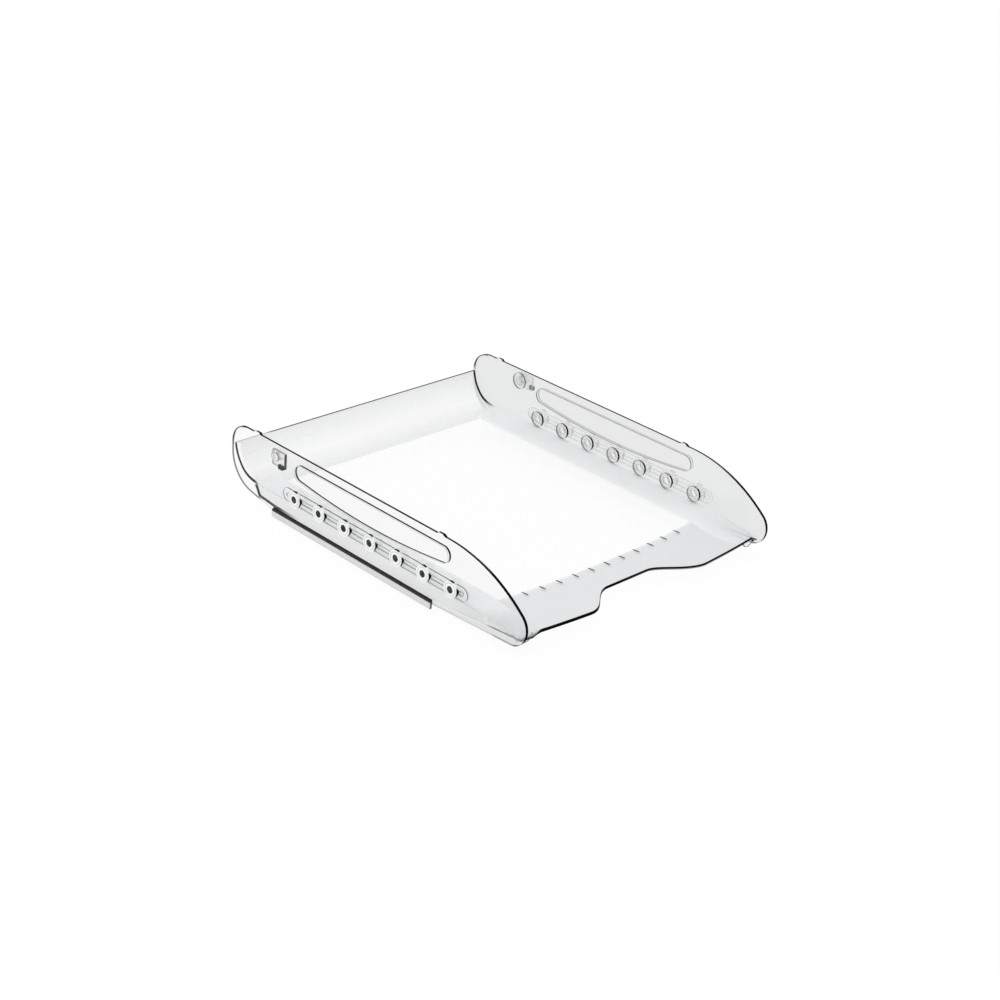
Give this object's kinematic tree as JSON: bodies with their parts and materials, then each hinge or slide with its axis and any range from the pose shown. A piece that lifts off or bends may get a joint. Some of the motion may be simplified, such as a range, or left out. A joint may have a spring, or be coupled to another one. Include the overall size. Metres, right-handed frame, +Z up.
{
  "type": "letter tray",
  "caption": "Clear desk tray for letter paper: a shallow pan with a scooped front lip between two upright cheeks with socket tracks, stacking rails and swivelling catches.",
  "frame": {"origin": "on the table, midway between the two cheeks and midway between their front and back", "axes": "+X to the tray's right seen from its front, +Y from the lip to the back wall, +Z up"},
  "size_m": [0.2592, 0.3146, 0.0599],
  "materials": {
    "clear": "polished clear plastic",
    "smoke": "polished smoky clear plastic"
  },
  "bodies": {
    "tray": {"tray_pan": "clear", "left_cheek": "clear", "right_cheek": "clear", "left_track": "clear", "right_track": "clear", "left_socket_1": "smoke", "left_socket_2": "smoke", "left_socket_3": "smoke", "left_socket_4": "smoke", "left_socket_5": "smoke", "left_socket_6": "smoke", "left_socket_7": "smoke", "right_socket_1": "smoke", "right_socket_2": "smoke", "right_socket_3": "smoke", "right_socket_4": "smoke", "right_socket_5": "smoke", "right_socket_6": "smoke", "right_socket_7": "smoke", "left_rail": "clear", "right_rail": "clear", "left_foot": "clear", "right_foot": "clear"},
    "left_swivel": {"left_catch": "clear", "left_catch_pin": "smoke"},
    "right_swivel": {"right_catch": "clear", "right_catch_pin": "smoke"}
  },
  "joints": [
    {"name": "left_catch_turn", "type": "hinge", "parent": "tray", "child": "left_swivel", "pos_m": [-0.1266, 0.1027, 0.0498], "axis": [-1, 0, 0], "range_deg": [0, 90]},
    {"name": "right_catch_turn", "type": "hinge", "parent": "tray", "child": "right_swivel", "pos_m": [0.1266, 0.1027, 0.0498], "axis": [-1, 0, 0], "range_deg": [0, 90]}
  ]
}
